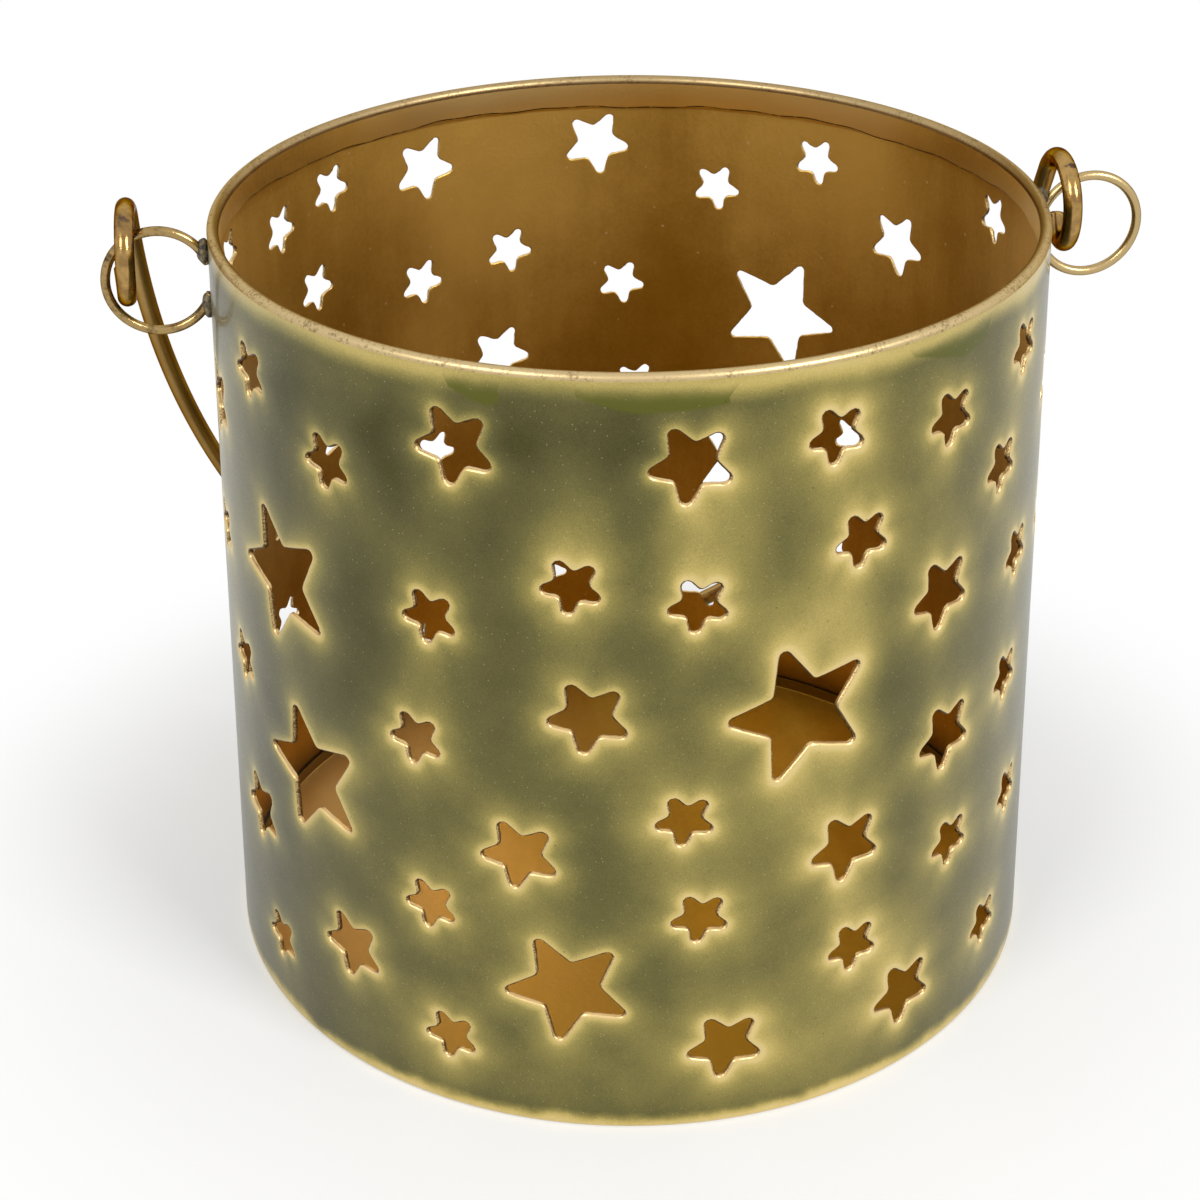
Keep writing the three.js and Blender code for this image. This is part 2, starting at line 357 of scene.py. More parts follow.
def star_distance(flat, reach, halo=None):
    """Distance on the flat sheet from points to the nearest star outline, negative inside, at most reach.
    Given a halo length, the sum over the stars of e to the minus distance over that length instead."""
    nearest = np.full(len(flat), reach)
    glow = np.zeros(len(flat))
    for star, azimuth, height, tilt in placed:
        spot = beside(flat, azimuth, height)
        close = np.flatnonzero(np.hypot(*spot.T) < star["tip"] + reach)
        spot = spot[close]
        ring = unrolled(star, azimuth, height, tilt, 0.0) - (UNROLL * azimuth, height)
        side = np.roll(ring, -1, axis=0) - ring
        gap = spot[:, None] - ring[None]
        part = np.clip((gap * side).sum(-1) / (side ** 2).sum(-1), 0, 1)
        away = np.hypot(*np.moveaxis(gap - part[..., None] * side, -1, 0)).min(1)
        if halo:
            glow[close] += np.exp(-away / halo)
            continue
        angle = np.arctan2(ring[:, 1], ring[:, 0])
        order = np.argsort(angle)
        limit = np.interp(
            np.arctan2(spot[:, 1], spot[:, 0]), angle[order], np.hypot(*ring.T)[order], period=2 * np.pi,
        )
        inside = np.hypot(*spot.T) < limit
        nearest[close] = np.minimum(nearest[close], np.where(inside, -away, away))
    return glow if halo else nearest


def flat_skin(low, high, grow, fine, coarse, near):
    """Triangles of the flat sheet between two heights, open at the stars: finer near them than far away."""
    around = np.arange(TURN_STEPS + 1) * 360.0 / TURN_STEPS * UNROLL
    upright = np.linspace(low, high, int((high - low) / UNROLL))[1:-1]
    edge = [np.column_stack([around, 0 * around + z]) for z in (low, high)]
    edge += [np.column_stack([0 * upright + x, upright]) for x in (0.0, around[-1])]
    loose = []
    for step, nearer in ((fine, True), (coarse, False)):
        rows = np.arange(low + FIRST_CLEAR, high - LAST_CLEAR, step * ROW_STEP)
        for number, z in enumerate(rows):
            x = np.arange(FIRST_CLEAR + step * 0.5 * (number % 2), around[-1] - LAST_CLEAR, step)
            loose.append(np.column_stack([x, 0 * x + z, 0 * x + nearer]))
    loose = np.vstack(loose)
    distance = star_distance(loose[:, :2], near + 1.0)
    close = (distance > grow + STAR_CLEAR) & (distance < near)
    fits = np.where(loose[:, 2] > 0, close, distance >= near)
    rings = [unrolled(*place, grow) for place in placed]
    starts = np.cumsum([0] + [len(ring) for ring in rings])
    sides = [
        (int(first + k), int(first + (k + 1) % len(ring)))
        for first, ring in zip(starts, rings) for k in range(len(ring))
    ]
    flat = np.vstack(rings + edge + [loose[fits, :2]])
    result = delaunay_2d_cdt(flat.tolist(), sides, [], 0, 1e-6)
    flat = np.array([tuple(v) for v in result[0]])
    faces = np.array(result[2])
    keep = star_distance(flat[faces].mean(1), 2.0) > grow - 0.02
    return flat, faces[keep]


def wrapped(flat, depth):
    """Points of the flat sheet rolled up on the taper, a depth below its outside."""
    azimuth = np.radians(flat[:, 0] / UNROLL)
    radius = wall_radius(flat[:, 1]) - depth
    return np.column_stack([radius * np.cos(azimuth), radius * np.sin(azimuth), flat[:, 1]])


# Thick and thin patches of the lacquer: azimuth, height, half width, half height, and how much thicker
CLOUDS = [
    (255, 106, 6, 8, -0.3), (271, 103, 6, 7, -0.3), (286, 87, 6, 5, -0.35), (291, 78, 4, 8, -0.15),
    (221, 98, 5, 4, -0.1), (287, 58, 8, 8, -0.15), (301, 25, 4, 5, -0.2), (278, 29, 7, 12, -0.12),
    (288, 10, 8, 8, -0.3), (233, 52, 6, 8, -0.1), (235, 76, 5, 5, -0.12), (262, 57, 5, 8, -0.1),
    (293, 106, 6, 6, -0.15), (305, 99, 5, 8, -0.18), (233, 96, 6, 5, -0.1), (290, 119, 9, 4, -0.15),
    (227, 121, 9, 4, -0.2), (252, 122, 8, 3, -0.15), (222, 8, 20, 6, -0.1), (262, 8, 20, 6, -0.1),
    (293, 36, 4, 8, -0.15), (283, 52, 5, 8, -0.1), (218, 52, 5, 8, -0.12), (216, 82, 5, 8, -0.12),
    (247, 112, 6, 10, 0.25), (226, 88, 8, 11, 0.14), (245, 84, 6, 10, 0.1), (222, 71, 6, 6, 0.06),
    (262, 86, 4, 8, 0.15), (262, 113, 5, 8, 0.1), (295, 104, 4, 10, 0.05), (297, 72, 4, 10, 0.1),
    (224, 36, 8, 8, 0.05), (244, 18, 5, 8, 0.1), (263, 32, 5, 8, 0.1), (298, 46, 4, 8, 0.1),
    (311, 106, 6, 10, 0.15), (212, 101, 8, 8, 0.1), (230, 113, 8, 6, 0.3), (204, 114, 7, 6, 0.15),
    (203, 48, 7, 26, 0.2), (208, 12, 10, 6, 0.2), (241, 119, 8, 5, 0.25), (264, 116, 9, 7, 0.25),
    (263, 102, 5, 8, 0.15), (257, 52, 4, 8, 0.12), (240, 46, 5, 6, 0.08), (213, 114, 6, 6, 0.15),
    (214, 55, 18, 60, 0.07), (299, 110, 4, 6, 0.12), (205, 44, 5, 14, 0.12), (240, 112, 4, 5, -0.2),
]
# The same patches once more round the back and the right side
all_clouds = CLOUDS + [(azimuth - PANEL_TURN, *rest) for azimuth, *rest in CLOUDS]
all_clouds += [(azimuth + PANEL_TURN, *rest) for azimuth, *rest in CLOUDS if azimuth < 245]
# Runs where the lacquer gathered under the rim: their lower edges, as azimuths and heights
RUNS = [
    [(238.2, 123.7), (240.5, 122.5), (243.0, 121.6), (244.9, 121.2), (246.0, 121.9), (246.5, 124.0)],
    [
        (254.3, 123.9), (257.0, 122.8), (260.5, 121.7), (263.4, 121.2), (267.5, 121.4), (274.1, 122.1),
        (275.0, 124.0),
    ],
    [
        (297.2, 124.0), (299.9, 123.0), (303.5, 121.7), (307.0, 121.0), (308.0, 120.2), (308.9, 120.9),
        (312.5, 121.7), (314.3, 124.3),
    ],
    [(18.0, 123.8), (22.0, 122.2), (27.0, 121.3), (31.0, 121.8), (33.0, 124.0)],
    [(88.0, 123.9), (92.0, 122.0), (96.0, 121.4), (98.0, 124.0)],
    [(140.0, 123.9), (146.0, 122.4), (152.0, 121.3), (157.0, 121.6), (158.0, 124.0)],
]


def hanging(flat):
    """Height above the runs' lower edge, by straight lines between its points; well below it elsewhere."""
    above = np.full(len(flat), -5.0)
    for edge in RUNS:
        low = np.interp(flat[:, 0] / UNROLL, *zip(*edge), left=WALL_HEIGHT + 5, right=WALL_HEIGHT + 5)
        above = np.maximum(above, flat[:, 1] - low)
    return above


# Painted highlights and painted shade on the gilding inside: azimuth, height, half width, half height, how
# much
INNER_PAINTED_LIGHT = [
    (103, 106, 11, 15, 0.45), (44, 113, 9, 12, 0.35), (74, 95, 8, 22, -0.3), (20, 102, 12, 25, -0.3),
    (142, 104, 12, 20, -0.3), (116, 84, 7, 10, 0.2), (60, 66, 30, 14, -0.2),
    (105, 124, 17, 2.2, 0.5), (155, 124, 22, 2.2, -0.75), (18, 124, 14, 2.2, -0.6),
]


def patches(flat, spots):
    """Sum of soft elliptical patches on the flat sheet; at its half sizes one has 0.6 of its amount."""
    total = np.zeros(len(flat))
    for azimuth, height, wide, tall, amount in spots:
        across, above = beside(flat, azimuth, height).T
        total += amount * np.exp(-((across / wide) ** 2 + (above / tall) ** 2) / 2)
    return total


HALO_REACH = 16.0
HALO_LENGTH = 3.4
hem_depth = 2 * SHEET + HEM_GAP
hem_foot = WALL_HEIGHT - HEM_HEIGHT
fold_radius = hem_depth / 2 + RIM_SWELL
fold_height = WALL_HEIGHT - fold_radius
fold_meet = math.degrees(math.acos(hem_depth / 2 / fold_radius))
fold_centre = (wall_radius(fold_height) - hem_depth / 2, fold_height)
fold = arc(fold_centre, fold_radius, -fold_meet, 180 + fold_meet, FOLD_STEPS)
skin_top = fold[0, 1]
fold[0, 0] = wall_radius(skin_top)
inner_top = hem_foot - HEM_TUCK

points, faces, parts = [], [], []
distances, depths, film_and_light_patches, runs, halos, uplooks = [], [], [], [], [], []


def gather(new_points, new_faces, part, distance, depth, uplook=0.0):
    """Adds one patch of the wall to the lists that its mesh is made from."""
    first = sum(map(len, points))
    points.append(new_points)
    flat = np.column_stack([
        UNROLL * (np.degrees(np.arctan2(new_points[:, 1], new_points[:, 0])) % 360), new_points[:, 2],
    ])
    # Lacquer thickness on the outside; painted highlights and painted shade on the inside.
    film_and_light_patches.append(patches(flat, all_clouds if part == OUTSIDE else INNER_PAINTED_LIGHT))
    halos.append(star_distance(flat, HALO_REACH, HALO_LENGTH) if part == OUTSIDE else 0 * flat[:, 0])
    uplooks.append(np.broadcast_to(uplook, len(new_points)))
    runs.append(hanging(flat))
    faces.extend((np.asarray(new_faces) + first).tolist())
    parts.extend([part] * len(new_faces))
    distances.append(np.broadcast_to(distance, len(new_points)))
    depths.append(np.broadcast_to(depth, len(new_points)))


flat, skin = flat_skin(FOOT_ROUND, skin_top, EDGE_RINGS[0][0], fine=1.15, coarse=2.3, near=4.5)
gather(wrapped(flat, 0.0), skin, OUTSIDE, star_distance(flat, HALO_REACH), 0.0)
flat, skin = flat_skin(FOOT_ROUND, inner_top, EDGE_RINGS[-1][0], fine=2.6, coarse=3.4, near=4.0)
gather(wrapped(flat, SHEET), skin[:, ::-1], INSIDE, star_distance(flat, HALO_REACH), SHEET)
jitter = np.random.default_rng(7)
for place in placed:
    rings = []
    for grow, depth in EDGE_RINGS:
        ring = wrapped(unrolled(*place, grow), depth)
        if 0.1 < depth < SHEET and grow < 0.2:
            ring = ring + jitter.normal(0, STAR_BURR, ring.shape)
        rings.append(ring)
    count = len(rings[0])
    depth = np.repeat([depth for _, depth in EDGE_RINGS], count)
    distance = np.repeat([grow for grow, _ in EDGE_RINGS], count)
    # How much each point of a star's cut edge looks up, for the light and shade painted on the cut face.
    outward = star_ring(place[0], place[3], 0.5) - star_ring(place[0], place[3], 0.0)
    uplook = np.tile(-2 * outward[:, 1], len(rings))
    cut, lining = grid_faces(len(rings) - 1, count, True), grid_faces(2, count, True)
    gather(np.vstack(rings[:-1]), cut, OUTSIDE, distance[:-count], depth[:-count], uplook[:-count])
    gather(np.vstack(rings[-2:]), lining, INSIDE, HALO_REACH, SHEET)
azimuth = np.radians(np.arange(TURN_STEPS) * 360.0 / TURN_STEPS)
# The hem's raw edge wanders a little
ragged = 0.22 * np.sin(7 * azimuth + 1) + 0.16 * np.sin(17 * azimuth) + 0.1 * np.sin(41 * azimuth + 2)
hem_low = hem_foot + ragged
rim_rows = [np.column_stack([np.full(TURN_STEPS, r), np.full(TURN_STEPS, z)]) for r, z in fold]
for inset, lift in ((hem_depth, HEM_EDGE_UP), (hem_depth - HEM_EDGE_IN, 0.0), (SHEET, 0.0)):
    rim_rows.append(np.column_stack([wall_radius(hem_low) - inset, hem_low + lift]))
rim_rows.append(np.column_stack([
    np.full(TURN_STEPS, wall_radius(inner_top) - SHEET), np.full(TURN_STEPS, inner_top),
]))
foot_rows = [
    np.column_stack([np.full(TURN_STEPS, r), np.full(TURN_STEPS, z)])
    for r, z in np.vstack([
        [(wall_radius(FOOT_ROUND) - SHEET, FOOT_ROUND)],
        [(wall_radius(0) - SHEET + 0.1, 0.0)],
        arc((wall_radius(FOOT_ROUND) - FOOT_ROUND, FOOT_ROUND), FOOT_ROUND, -90, 0, 4),
    ])
]
bands = [
    (rim_rows[:2], OUTSIDE), (rim_rows[1:FOLD_STEPS], ROLLED_RIM),
    (rim_rows[FOLD_STEPS - 1:FOLD_STEPS + 1], INSIDE), (rim_rows[FOLD_STEPS:FOLD_STEPS + 3], RAW_HEM),
    (rim_rows[FOLD_STEPS + 2:], INSIDE), (foot_rows, OUTSIDE),
]
for rows, part in bands:
    ring = np.stack(rows)
    strip = np.stack([ring[..., 0] * np.cos(azimuth), ring[..., 0] * np.sin(azimuth), ring[..., 1]], axis=-1)
    gather(strip.reshape(-1, 3), grid_faces(len(rows), TURN_STEPS, True), part, HALO_REACH, 0.0)

lacquer, shader, here = finish("green_lacquer")
distance = here.node("Attribute", out="Fac", attribute_name="star_distance")
depth = here.node("Attribute", out="Fac", attribute_name="sheet_depth")
thick = here.node("Attribute", out="Fac", attribute_name="film_and_painted_light")
run = here.node("Attribute", out="Fac", attribute_name="film_run")
halo = here.node("Attribute", out="Fac", attribute_name="star_glow")
uplook = here.node("Attribute", out="Fac", attribute_name="edge_painted_light")
height = here.node("SeparateXYZ", {0: here}, out="Z") / MM
cloud = here.noise(38.0, 2.0, 0.45, (1.0, 1.0, 0.6)) - 0.5
wisps = here.noise(150.0, 3.0, 0.5) - 0.5
grain = here.noise(4200.0, 2.0, 0.7)
near = 1.0 - (distance + 0.8 * wisps).rise(-0.2, 1.9)
foot_rub = 1.0 - (height + 2.5 * wisps).rise(0.3, 3.0)
rim_rub = (height + 2.0 * wisps + 4.0 * cloud).rise(122.0, 126.0)
bare = depth.rise(0.02, 0.08)
film = 0.82 + thick + 0.22 * cloud + 0.2 * wisps
film = film - (0.66 + 0.4 * cloud) * halo.least(1.1) - 0.22 * near - 0.7 * foot_rub - 0.6 * rim_rub
film = film + 0.3 * (grain - 0.5)
colour = film.ramp(
    (0.0, (0.68, 0.525, 0.21)), (0.2, (0.53, 0.41, 0.12)), (0.45, (0.275, 0.228, 0.056)),
    (0.7, (0.13, 0.114, 0.027)), (0.86, (0.084, 0.074, 0.015)), (1.0, (0.048, 0.043, 0.0)),
)
gathered = (run + wisps).rise(-0.1, 0.55) * (1.0 - (height + 2.0 * wisps).rise(122.8, 125.4))
colour = (0.85 * gathered).tint(colour, (0.092, 0.096, 0.0, 1))
fleck = 1.0 - here.spots(1000.0, 1.0).rise(0.04, 0.12)
colour = (0.32 * fleck).tint(colour, (0.75, 0.66, 0.40, 1))
pit = 1.0 - here.spots(260.0, 1.0).rise(0.02, 0.045)
colour = (0.7 * pit).tint(colour, (0.05, 0.045, 0.015, 1))
# Painted highlight and shade on the cut edges: cut faces that look up are coloured bright cream, those that
# look down dark brown.
cut = (uplook + 3.0 * (grain - 0.5)).rise(-0.5, 0.9).tint((0.09, 0.05, 0.018, 1), (0.74, 0.53, 0.24, 1))
colour = bare.tint(colour, cut)
feed(shader, Base_Color=colour, Metallic=0.65 + 0.2 * bare, Roughness=0.36 + 0.2 * (grain - 0.5))
feed(shader, Coat_Weight=0.22 * (1.0 - bare), Coat_Roughness=0.08)
feed(shader, Normal=bumped(0.5 * wisps + 0.08 * grain, 0.12, 0.0006))

wall_gilt, shader, here = finish("inner_gilt")
# Inside, this attribute holds the painted highlights and painted shade of the patches listed above.
painted_light = here.node("Attribute", out="Fac", attribute_name="film_and_painted_light")
height = here.node("SeparateXYZ", {0: here}, out="Z") / MM
mottle = here.noise(38.0, 4.0, 0.6)
streak = here.noise(220.0, 3.0, 0.6, (1.0, 1.0, 0.12))
grain = here.noise(1300.0, 3.0, 0.7)
hem = height.rise(121.0, 122.0)
tone = 0.6 * mottle + 0.25 * streak * (1.0 - hem) + 0.25 * grain - 0.03 + painted_light
# Painted light: the inside is coloured lighter towards the open top, and the hem band lighter still.
tone = tone + 0.22 * height.rise(80.0, 118.0) + 0.48 * hem
colour = tone.rise(0.05, 1.05).tint((0.36, 0.178, 0.008, 1), (0.78, 0.51, 0.12, 1))
# Painted highlight: the hem band is coloured toward pale gold, most where the painted light patches are
# bright.
colour = (hem * (0.3 + 1.2 * painted_light)).tint(colour, (1.0, 0.80, 0.36, 1))
# Painted shade: the inside of the wall is coloured dark near the floor, in the corner where wall meets floor.
colour = (0.85 * (1.0 - height.rise(2.5, 11.0))).tint(colour, (0.09, 0.045, 0.004, 1))
speck = 1.0 - here.spots(240.0, 1.0).rise(0.03, 0.08)
colour = (0.6 * speck).tint(colour, (0.85, 0.62, 0.30, 1))
feed(shader, Base_Color=colour, Metallic=0.95, Roughness=0.34 + 0.2 * mottle)
feed(shader, Normal=bumped(grain + 2.0 * mottle, 0.2, 0.0003))

rim_gilt, shader, here = finish("rim_gilt")
wear = here.noise(240.0, 4.0, 0.65)
grain = here.noise(2200.0, 3.0, 0.7)
from_axis = here.node("VectorMath", {0: here, 1: (1.0, 1.0, 0.0)}, operation="MULTIPLY")
from_axis = from_axis.node("VectorMath", {0: from_axis}, out="Value", operation="LENGTH") / MM
# Painted highlight and shade on the rolled rim: its outer side is coloured pale gold and its inner side dark
# brown, split along a ragged line; the back of the rim is painted paler too.
rubbed_and_sheen = (from_axis + 0.8 * (wear - 0.5)).rise(63.6, 64.5)
back_painted_sheen = here.node("SeparateXYZ", {0: here}, out="Y").rise(0.0, 0.03)
rubbed_and_sheen = rubbed_and_sheen.most(0.55 * back_painted_sheen)
colour = rubbed_and_sheen.tint((0.24, 0.15, 0.06, 1), (0.60, 0.455, 0.235, 1))
colour = (0.7 * (0.4 * wear + 0.6 * grain).rise(0.5, 0.62)).tint(colour, (0.19, 0.12, 0.05, 1))
feed(shader, Base_Color=colour, Metallic=1.0, Roughness=0.3 + 0.16 * grain)
feed(shader, Specular_Tint=(0.5, 0.38, 0.24, 1))
feed(shader, Normal=bumped(grain + 0.5 * wear, 0.12, 0.0002))

raw_edge, shader, here = finish("raw_hem_edge")
chips = here.noise(420.0, 4.0, 0.65)
# Painted shade: the hem's raw edge, facing down, is coloured near black, with gilt showing through in chips.
colour = chips.rise(0.5, 0.62).tint((0.035, 0.02, 0.008, 1), (0.50, 0.32, 0.08, 1))
feed(shader, Base_Color=colour, Metallic=0.8, Roughness=0.4)
feed(shader, Normal=bumped(chips, 0.5, 0.0003))

wall = piece(
    "pierced_wall", np.vstack(points), faces, [lacquer, wall_gilt, rim_gilt, raw_edge],
    {
        "star_distance": np.concatenate(distances), "sheet_depth": np.concatenate(depths),
        "film_and_painted_light": np.concatenate(film_and_light_patches), "film_run": np.concatenate(runs),
        "star_glow": np.concatenate(halos), "edge_painted_light": np.concatenate(uplooks),
    }, parts,
)
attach(wall, "body")
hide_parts("body_wall")

# Ears: an open wire ring on each side, standing on edge, both ends brazed to the wall just under the rim.
# Gilt wire swept round its circle, with rough grey lumps of braze that seat on the wall.
RING_RADIUS = 8.1
RING_WIRE = 1.5
RING_OPENING = 36.0
BRAZE_SEAT = -0.05
BRAZE_ANGLE = math.radians(33)
BRAZE_HALF = (1.1, 1.2, 2.1)
LUMP_ROWS = 17
LUMP_COLUMNS = 28
WIRE_SIDES = 20


def wire_along(path, radius):
    """Round wire along an open path: circles carried along it, and a point in the middle of each cut end."""
    ahead = np.roll(path, -1, axis=0) - np.roll(path, 1, axis=0)
    ahead[0], ahead[-1] = path[1] - path[0], path[-1] - path[-2]
    ahead /= np.linalg.norm(ahead, axis=1, keepdims=True)
    across = np.zeros_like(path)
    side = np.cross(ahead[0], [0.3, 1.0, 0.2])
    for k, direction in enumerate(ahead):
        side = side - direction * (side @ direction)
        side /= np.linalg.norm(side)
        across[k] = side
    square = np.cross(ahead, across)
    angle = np.linspace(0, 2 * np.pi, WIRE_SIDES, endpoint=False)[None, :, None]
    rings = path[:, None] + radius * (np.cos(angle) * across[:, None] + np.sin(angle) * square[:, None])
    first, last = np.repeat(path[:1, None], WIRE_SIDES, 1), np.repeat(path[-1:, None], WIRE_SIDES, 1)
    return np.concatenate([first, rings, last]).reshape(-1, 3), grid_faces(len(path) + 2, WIRE_SIDES, True)


def lump(centre, halves, rough):
    """Ellipsoid about a centre, its surface pushed in and out by a sum of sines of the two angles."""
    around = np.arange(LUMP_COLUMNS) * 2 * np.pi / LUMP_COLUMNS
    rows, columns = np.meshgrid(np.linspace(0, np.pi, LUMP_ROWS), around, indexing="ij")
    waves = np.sin(3 * columns + 4 * rows) + 0.7 * np.sin(5 * columns - 3 * rows + 1)
    swell = 1 + rough * np.sin(rows) * waves
    ball = np.stack([np.sin(rows) * np.cos(columns), np.sin(rows) * np.sin(columns), np.cos(rows)], axis=-1)
    points = (centre + ball * swell[..., None] * halves).reshape(-1, 3)
    return points, grid_faces(LUMP_ROWS, LUMP_COLUMNS, True)


def seated(points):
    """Points moved straight out from the axis until they lie at the braze seat, just in the lacquer."""
    least = wall_radius(points[:, 2]) + BRAZE_SEAT
    reach = np.hypot(points[:, 0], points[:, 1])
    return points * np.column_stack([np.maximum(1, least / reach)] * 2 + [np.ones(len(points))])


gilt_wire, shader, here = finish("gilt_wire")
soot = here.noise(230.0, 3.0, 0.6)
grain = here.noise(1700.0, 3.0, 0.7)
right = here.node("SeparateXYZ", {0: here}, out="X").rise(-0.01, 0.01)
dark = (0.75 * soot + 0.25 * grain - 0.12 * right).rise(0.47, 0.66)
# Painted light: the right ring is coloured paler gold than the left, and carries less dark soot.
gold = right.tint((0.40, 0.27, 0.11, 1), (0.52, 0.38, 0.18, 1))
colour = dark.tint(gold, (0.065, 0.042, 0.02, 1))
feed(shader, Base_Color=colour, Metallic=1.0, Roughness=0.12 + 0.14 * soot + 0.1 * right)
feed(shader, Specular_Tint=(0.25, 0.17, 0.08, 1))
feed(shader, Normal=bumped(grain, 0.15, 0.0002))
braze, shader, here = finish("grey_braze")
crust = here.noise(900.0, 4.0, 0.65)
colour = crust.rise(0.35, 0.7).tint((0.045, 0.04, 0.035, 1), (0.30, 0.24, 0.14, 1))
feed(shader, Base_Color=colour, Metallic=0.7, Roughness=0.4 + 0.3 * crust)
feed(shader, Normal=bumped(crust, 0.8, 0.0005))
ring_centres = []
for side, name, out_from_wall, below_rim in ((-1, "left_ear", 7.7, 8.6), (1, "right_ear", 9.35, 8.0)):
    ring_height = WALL_HEIGHT - below_rim
    ring_centre = wall_radius(ring_height) + out_from_wall
    ring_centres.append(ring_centre)
    angle = np.radians(np.linspace(RING_OPENING / 2, 360 - RING_OPENING / 2, 97))
    path = np.column_stack([
        ring_centre - RING_RADIUS * np.cos(angle), 0 * angle, ring_height + RING_RADIUS * np.sin(angle),
    ])
    points, faces = wire_along(path, RING_WIRE / 2)
    parts = [0] * len(faces)
    middle = (wall_radius(ring_height) + ring_centre - RING_RADIUS * math.cos(BRAZE_ANGLE)) / 2
    for upper in (1, -1):
        centre = np.array([middle, 0.0, ring_height + upper * RING_RADIUS * math.sin(BRAZE_ANGLE)])
        more, more_faces = lump(centre, BRAZE_HALF, 0.06)
        faces = np.vstack([faces, more_faces + len(points)])
        points = np.vstack([points, more])
        parts += [1] * len(more_faces)
    points = seated(points) * (side, side, 1)
    ear = piece(name + "_ring", points, faces, [gilt_wire, braze], parts=parts)
    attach(ear, "body")
    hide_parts(name)

# Bail: one thick wire with an eye bent at each end, hanging loose in the rings and leaning on the back.
# Gilt wire, browned and scorched at the eyes; swept along the left eye, the half-ellipse of the bow and the
# right eye. Each eye stops short of closing.
BAIL_WIRE = 3.0
EYE_RADIUS = RING_RADIUS - 1.3
EYE_DROP = EYE_RADIUS - (BAIL_WIRE + RING_WIRE) / 2 - 1.95
EYE_SWEEP = 290.0
EYE_LEAD = 1.6
EYE_INSET = 0.5
HINGE_BELOW_RIM = 1.8
BAIL_PUSH = 3.7
BOW_RISE = 7.0
REST_GAP = 0.75
half_span = sum(ring_centres) / 2 - EYE_INSET
hinge_height = WALL_HEIGHT - HINGE_BELOW_RIM
bow_out = wall_radius(BOW_RISE) + REST_GAP + BAIL_WIRE / 2
bow_down = hinge_height - BOW_RISE
bail_length = math.sqrt(bow_out ** 2 + bow_down ** 2 - EYE_RADIUS ** 2)
bail_lean = math.atan2(bail_length, EYE_RADIUS) - math.atan2(bow_down, bow_out)
part = np.linspace(0, 1, 70)
turn_eye = np.radians(part * EYE_SWEEP)
eye = np.column_stack([
    half_span + EYE_LEAD * part ** 2,
    EYE_RADIUS * np.cos(turn_eye),
    -EYE_DROP + EYE_RADIUS * np.sin(turn_eye),
])
turn = np.linspace(0, np.pi, 220)[1:-1]
bow = np.column_stack([
    -half_span * np.cos(turn),
    0 * turn + EYE_RADIUS,
    -EYE_DROP - (bail_length - EYE_DROP) * np.sin(turn),
])
path = np.vstack([eye[::-1] * (-1, 1, 1), bow, eye])
lean = np.array(Matrix.Rotation(bail_lean, 3, "X"))
path = path @ lean.T + (-BAIL_PUSH, 0, hinge_height)
around = np.degrees(np.concatenate([turn_eye[::-1], 0 * turn, turn_eye]))
heat = np.exp(-((around - 95) / 24) ** 2) * np.where(path[:, 0] < 0, 0.62, 1.0)
bent = np.clip(around / 50, 0, 1)

bail_gilt, shader, here = finish("bail_gilt")
scorched = here.node("Attribute", out="Fac", attribute_name="scorched")
eye_bend = here.node("Attribute", out="Fac", attribute_name="eye_bend")
soot = here.noise(420.0, 3.0, 0.6)
grain = here.noise(1600.0, 3.0, 0.7)
rubbed_and_sheen = here.noise(60.0, 3.0, 0.55)
colour = rubbed_and_sheen.rise(0.35, 0.65).tint((0.33, 0.20, 0.07, 1), (0.42, 0.27, 0.10, 1))
browned = (0.7 * soot + 0.3 * rubbed_and_sheen).rise(0.4, 0.6).tint((0.46, 0.29, 0.10, 1), (0.28, 0.165, 0.06, 1))
colour = eye_bend.tint(colour, browned)
crust = (scorched * (3.4 * soot - 1.35) + 0.4 * (grain - 0.5)).rise(0.3, 0.6)
colour = (0.85 * crust).tint(colour, (0.07, 0.055, 0.05, 1))
feed(shader, Base_Color=colour, Metallic=1.0, Roughness=0.26 + 0.12 * soot - 0.16 * eye_bend)
feed(shader, Specular_Tint=(0.25, 0.17, 0.08, 1))
feed(shader, Normal=bumped(grain, 0.1, 0.0002))
points, faces = wire_along(path, BAIL_WIRE / 2)
along = {"scorched": heat, "eye_bend": bent}
along = {key: np.repeat(np.pad(value, 1, "edge"), WIRE_SIDES) for key, value in along.items()}
bail = piece("bail_wire", points, faces, [bail_gilt], along)
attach(bail, "bail")
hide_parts("bail_handle")

# Stage: a plain pale floor that turns white away from the lantern, in a white room.
# Two soft square lamps stand in front, to the right and to the left; the camera is fitted to the photograph.
FLOOR_SIZE = 6.0
FLOOR_DROP = 0.0002
AMBIENT = 0.62
LENS = 71.781
CAMERA_PLACE = (-0.05228, -0.34980, 0.25789)
CAMERA_TURNS = ((-7.7034, "Z"), (90 - 29.7573, "X"), (-0.4538, "Z"))
bpy.ops.mesh.primitive_plane_add(size=FLOOR_SIZE, location=(0, 0, -FLOOR_DROP))
floor = bpy.context.object
floor.name = "floor"
floor_material, shader, here = finish("pale_floor")
feed(shader, Base_Color=(0.9, 0.9, 0.9, 1), Roughness=0.9)
away = here.node("VectorMath", {0: here}, out="Value", operation="LENGTH")
shader.inputs["Specular IOR Level"].default_value = 0.0
tree = floor_material.node_tree
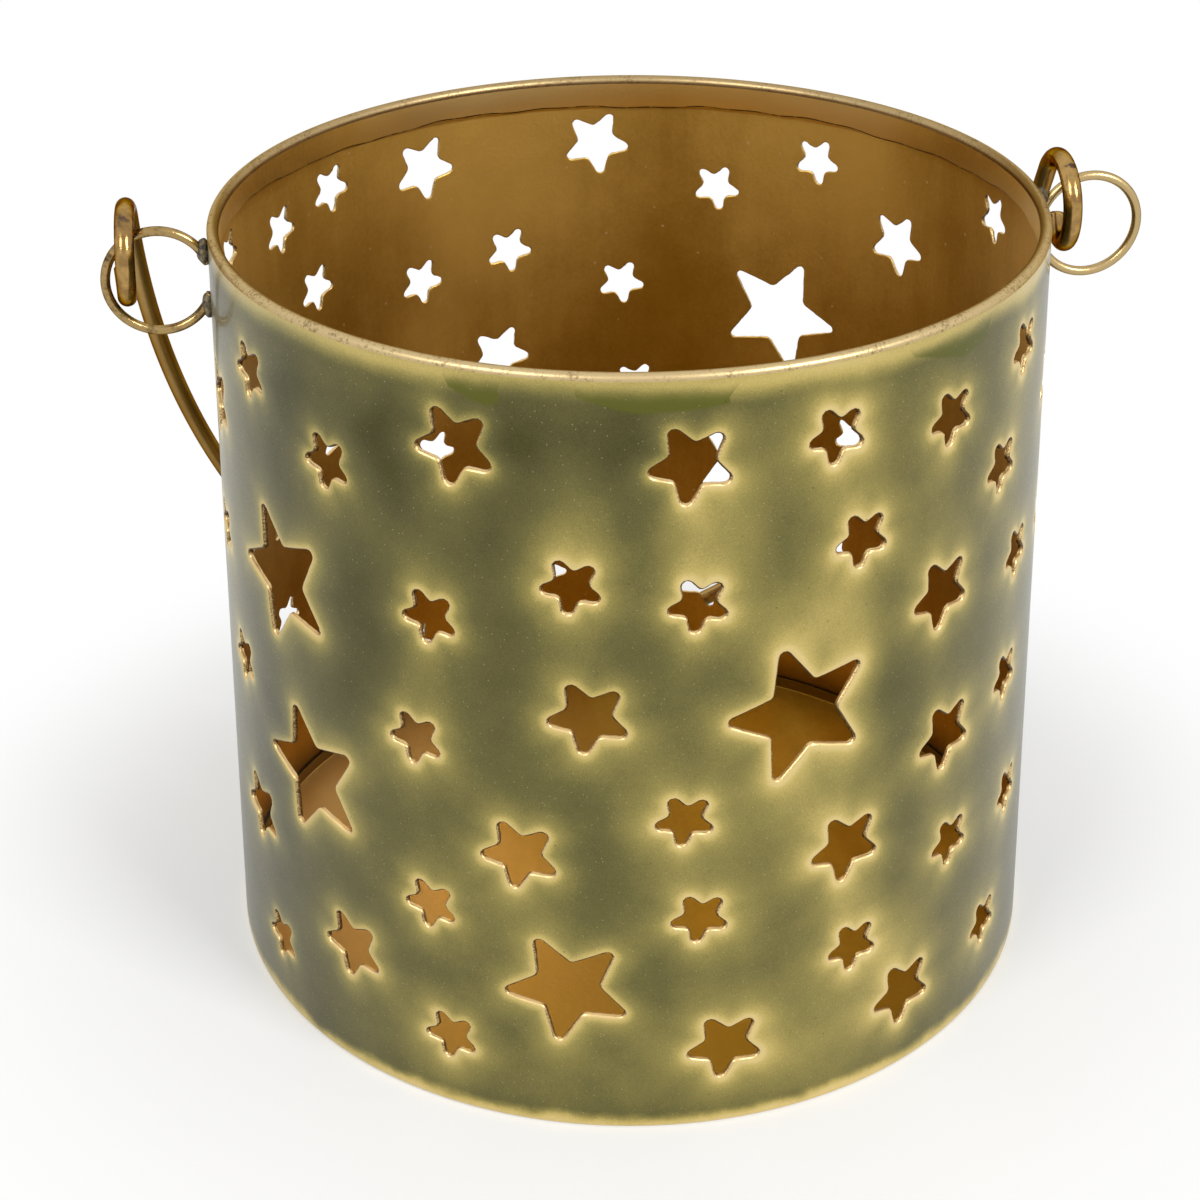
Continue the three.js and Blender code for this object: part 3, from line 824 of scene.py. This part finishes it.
path_kind = tree.nodes.new("ShaderNodeLightPath")
white = tree.nodes.new("ShaderNodeEmission")
white.inputs["Strength"].default_value = 1.0
blend = tree.nodes.new("ShaderNodeMixShader")
seen = Wire(tree, path_kind.outputs["Is Camera Ray"]).most(Wire(tree, path_kind.outputs["Is Glossy Ray"]))
tree.links.new((seen * (0.3 + 0.7 * away.rise(0.08, 0.145))).socket, blend.inputs[0])
tree.links.new(shader.outputs[0], blend.inputs[1])
tree.links.new(white.outputs[0], blend.inputs[2])
tree.links.new(blend.outputs[0], tree.nodes["Material Output"].inputs["Surface"])
floor.data.materials.append(floor_material)

world = bpy.data.worlds.new("studio")
bpy.context.scene.world = world
world.use_nodes = True
tree = world.node_tree
background = tree.nodes["Background"]
background.inputs["Color"].default_value = (1, 1, 1, 1)
path_kind = tree.nodes.new("ShaderNodeLightPath")
seen = Wire(tree, path_kind.outputs["Is Camera Ray"])
seen = seen.most(Wire(tree, path_kind.outputs["Is Glossy Ray"]))
seen = seen.most(Wire(tree, path_kind.outputs["Is Transmission Ray"]))
tree.links.new((AMBIENT + (1 - AMBIENT) * seen).socket, background.inputs["Strength"])

for name, place, size, power in (
    ("key", (1.6, -1.9, 1.7), 1.0, 45.0), ("fill", (-1.7, -1.6, 1.7), 1.0, 25.0),
):
    lamp = bpy.data.lights.new(name, "AREA")
    lamp.size = size
    lamp.energy = power
    holder = bpy.data.objects.new(name, lamp)
    holder.location = place
    holder.rotation_euler = (-holder.location).to_track_quat("-Z", "Y").to_euler()
    bpy.context.scene.collection.objects.link(holder)

camera_data = bpy.data.cameras.new("camera")
camera_data.sensor_width = 36.0
camera_data.lens = LENS
camera = bpy.data.objects.new("camera", camera_data)
heading, pitch, roll = (Matrix.Rotation(math.radians(angle), 4, axis) for angle, axis in CAMERA_TURNS)
camera.matrix_world = Matrix.Translation(CAMERA_PLACE) @ (heading @ pitch @ roll)
bpy.context.scene.collection.objects.link(camera)
bpy.context.scene.camera = camera
bpy.context.scene.view_settings.view_transform = "Standard"
